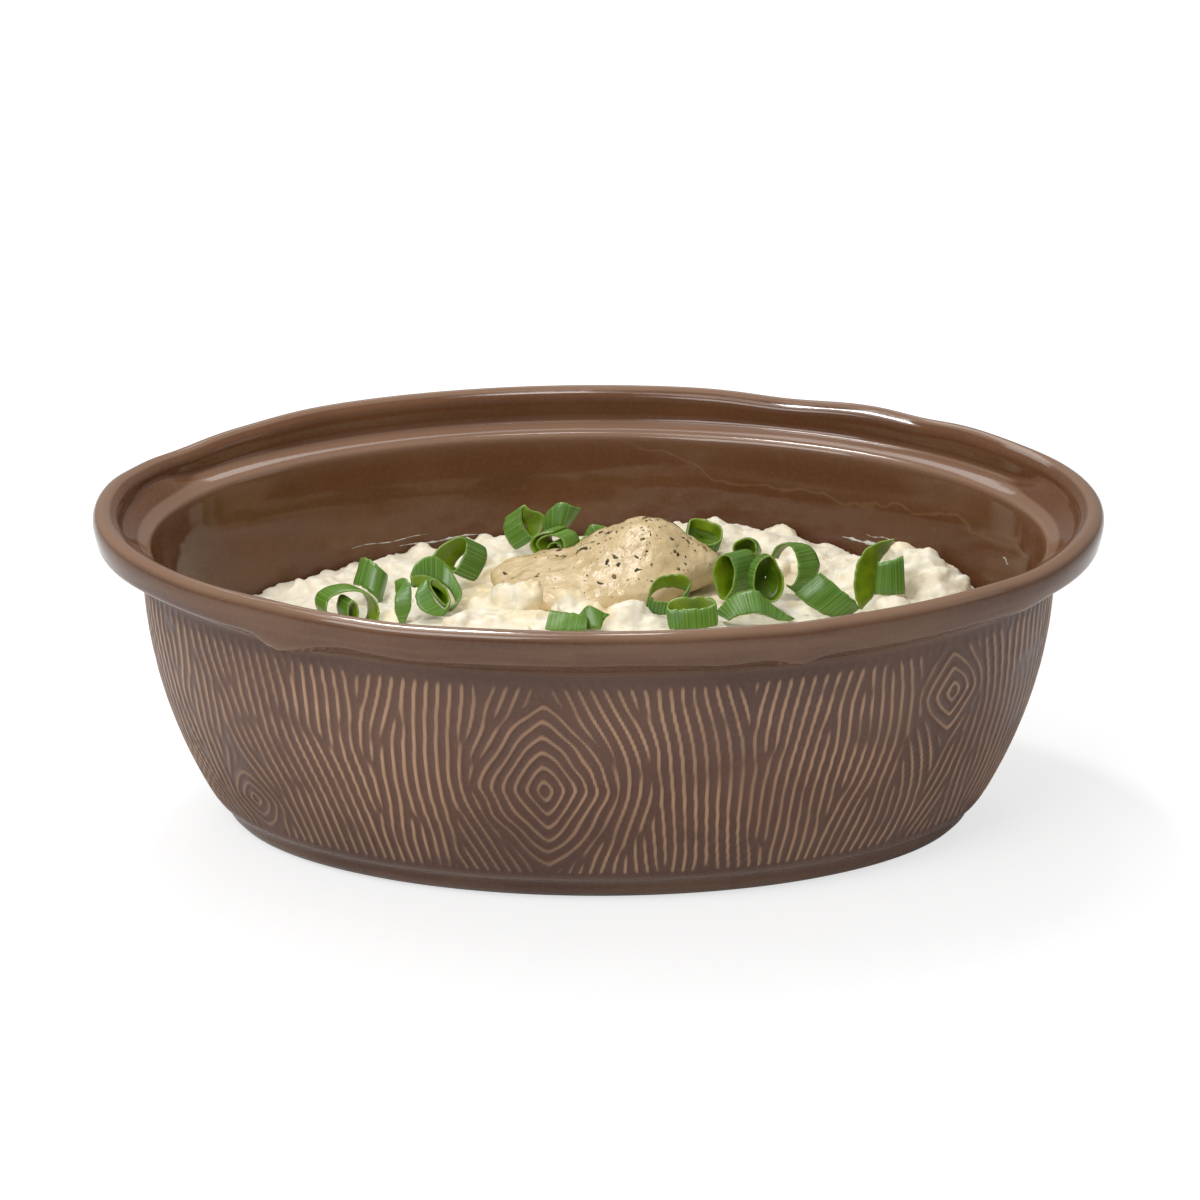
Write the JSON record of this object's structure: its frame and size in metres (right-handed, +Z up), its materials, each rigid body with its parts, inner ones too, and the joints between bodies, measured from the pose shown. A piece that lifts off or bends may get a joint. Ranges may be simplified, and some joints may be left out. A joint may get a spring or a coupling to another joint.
{
  "type": "mashed potato side dish",
  "caption": "Oval brown stoneware baker with a wood-grain relief wall, part filled with mashed potato under a spoonful of herb sauce and cut scallions.",
  "frame": {"origin": "centre of the baker's foot, on the surface it stands on", "axes": "+X along the baker's length, +Y across it towards its back, +Z up out of its mouth"},
  "size_m": [0.225, 0.156, 0.0753],
  "materials": {
    "brown_glaze": "glossy brown glaze that breaks lighter on the relief's ridges",
    "mashed_potato": "moist, lumpy, cream white with buttery yellow patches",
    "herb_sauce": "wet tan cream with dark herb flecks",
    "scallion": "waxy leaf green, yellower and wetter inside"
  },
  "bodies": {
    "root": {"dish": "brown_glaze", "mash": "mashed_potato", "herb_sauce": "herb_sauce", "scallion_01": "scallion", "scallion_02": "scallion", "scallion_03": "scallion", "scallion_04": "scallion", "scallion_05": "scallion", "scallion_06": "scallion", "scallion_07": "scallion", "scallion_08": "scallion", "scallion_09": "scallion", "scallion_10": "scallion", "scallion_11": "scallion", "scallion_12": "scallion", "scallion_13": "scallion", "scallion_14": "scallion", "scallion_15": "scallion", "scallion_16": "scallion", "scallion_17": "scallion", "scallion_18": "scallion", "scallion_19": "scallion", "scallion_20": "scallion", "scallion_21": "scallion", "scallion_22": "scallion"}
  },
  "joints": []
}
